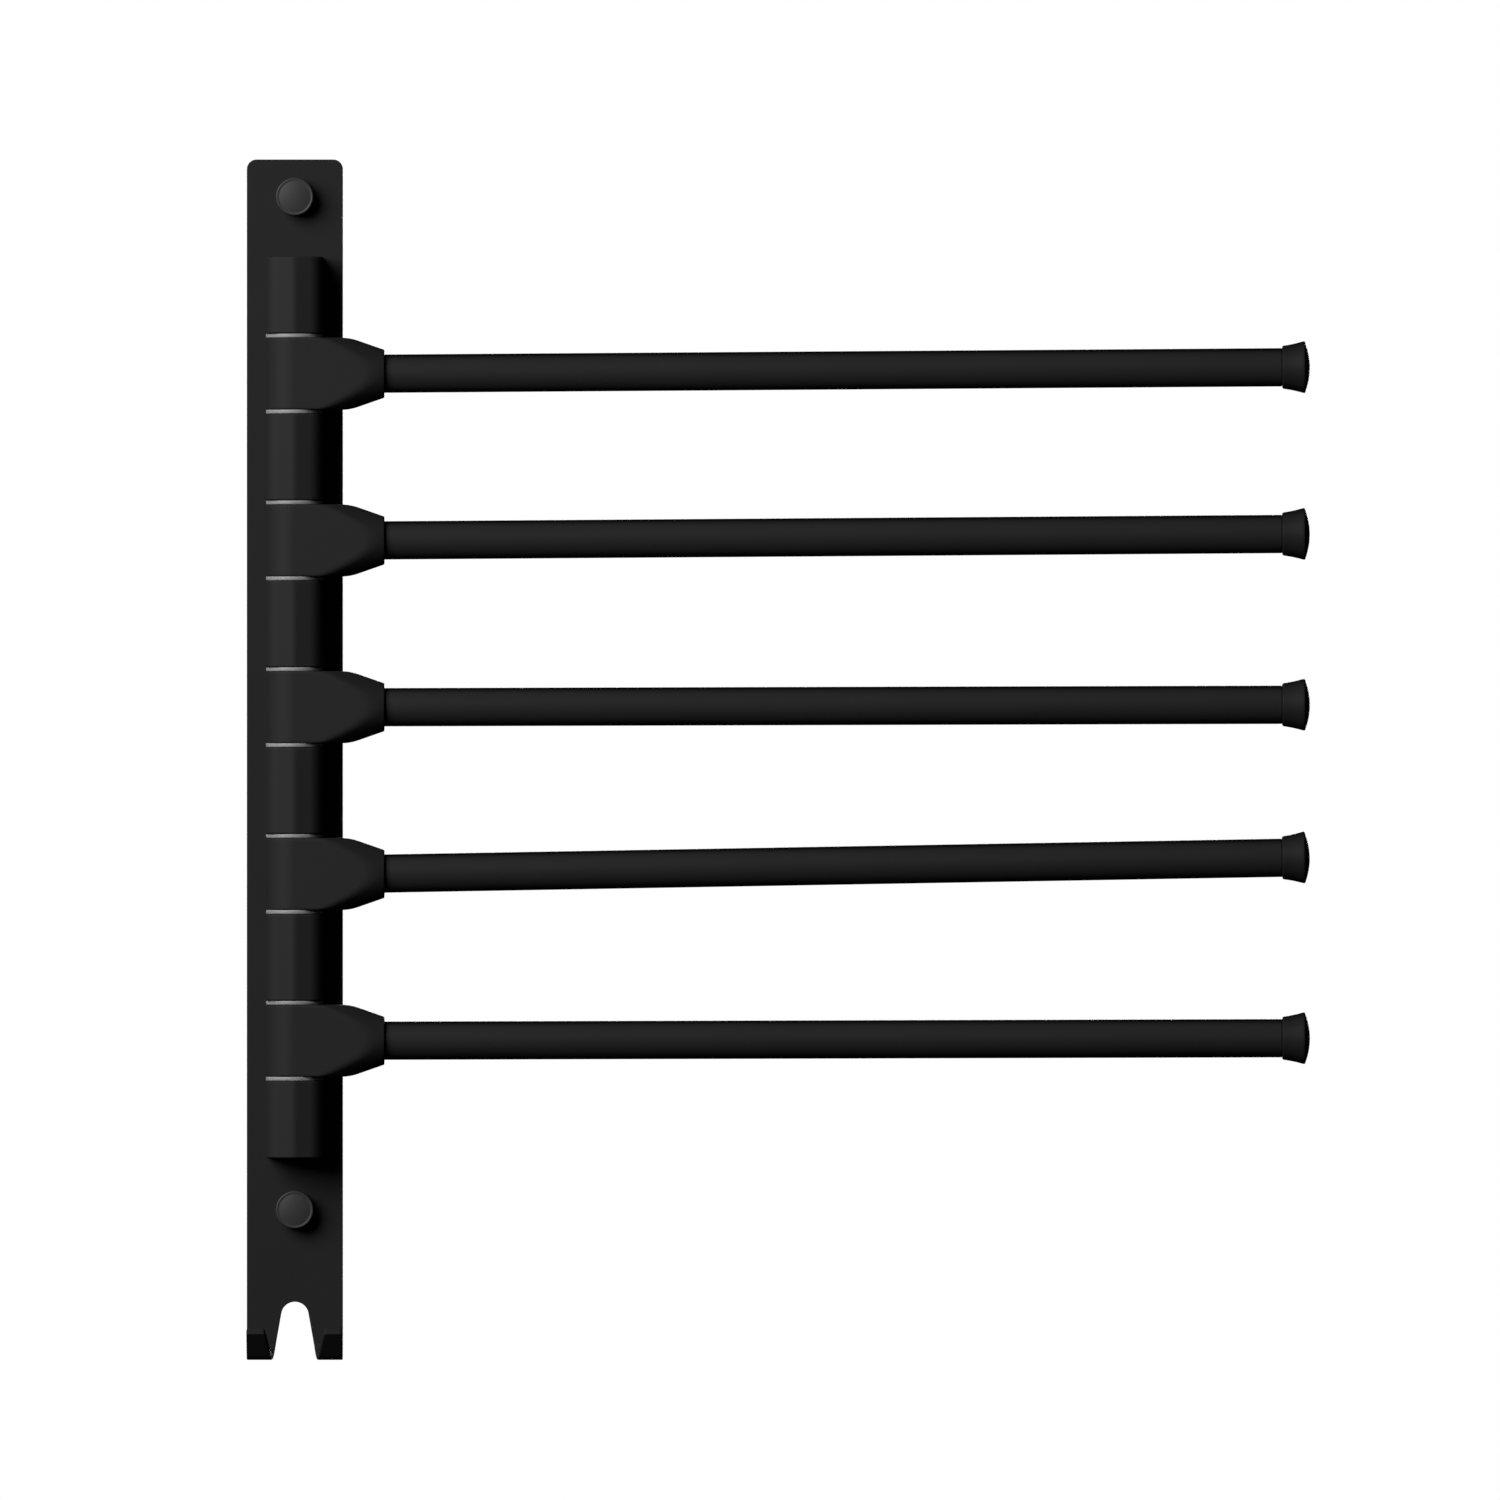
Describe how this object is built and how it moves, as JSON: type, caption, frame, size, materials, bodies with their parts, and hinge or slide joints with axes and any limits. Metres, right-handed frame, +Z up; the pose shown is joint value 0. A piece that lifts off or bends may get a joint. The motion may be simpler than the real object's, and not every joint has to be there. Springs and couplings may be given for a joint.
{
  "type": "wall towel rack",
  "caption": "Matte black wall towel rack with slim bars that swivel on one vertical rod, on a narrow back plate with small hooks at its foot.",
  "frame": {"origin": "midway between the two wall holes, on the back face that touches the wall", "axes": "+X along the bars at rest, -Y out from the wall, +Z up"},
  "size_m": [0.332, 0.021, 0.375],
  "materials": {
    "plate": "matte black powder coat",
    "column": "matte black anodised",
    "bars": "matte black powder coat",
    "caps": "fine satin moulded plastic",
    "covers": "satin black anodised, turned",
    "bushes": "grey nylon",
    "seats": "zinc plated",
    "steel": "ground steel"
  },
  "bodies": {
    "rack": {"back_plate": "plate", "top_block": "column", "bottom_block": "column", "pivot_rod": "steel", "block_screws": "steel", "spacer_1": "column", "spacer_2": "column", "spacer_3": "column", "spacer_4": "column", "cover_seat_upper": "seats", "cover_seat_lower": "seats", "screw_cover_upper": "covers", "screw_cover_lower": "covers"},
    "arm_1": {"hub_1": "column", "upper_bush_1": "bushes", "lower_bush_1": "bushes", "bar_1": "bars", "end_cap_1": "caps"},
    "arm_2": {"hub_2": "column", "upper_bush_2": "bushes", "lower_bush_2": "bushes", "bar_2": "bars", "end_cap_2": "caps"},
    "arm_3": {"hub_3": "column", "upper_bush_3": "bushes", "lower_bush_3": "bushes", "bar_3": "bars", "end_cap_3": "caps"},
    "arm_4": {"hub_4": "column", "upper_bush_4": "bushes", "lower_bush_4": "bushes", "bar_4": "bars", "end_cap_4": "caps"},
    "arm_5": {"hub_5": "column", "upper_bush_5": "bushes", "lower_bush_5": "bushes", "bar_5": "bars", "end_cap_5": "caps"}
  },
  "joints": [
    {"name": "arm_1_swivel", "type": "hinge", "parent": "rack", "child": "arm_1", "pos_m": [0, -0.012, 0.10285], "axis": [0, 0, -1], "range_deg": [0, 180]},
    {"name": "arm_2_swivel", "type": "hinge", "parent": "rack", "child": "arm_2", "pos_m": [0, -0.012, 0.0508], "axis": [0, 0, -1], "range_deg": [0, 180]},
    {"name": "arm_3_swivel", "type": "hinge", "parent": "rack", "child": "arm_3", "pos_m": [0, -0.012, -0.00125], "axis": [0, 0, -1], "range_deg": [0, 180]},
    {"name": "arm_4_swivel", "type": "hinge", "parent": "rack", "child": "arm_4", "pos_m": [0, -0.012, -0.0533], "axis": [0, 0, -1], "range_deg": [0, 180]},
    {"name": "arm_5_swivel", "type": "hinge", "parent": "rack", "child": "arm_5", "pos_m": [0, -0.012, -0.10535], "axis": [0, 0, -1], "range_deg": [0, 180]}
  ]
}
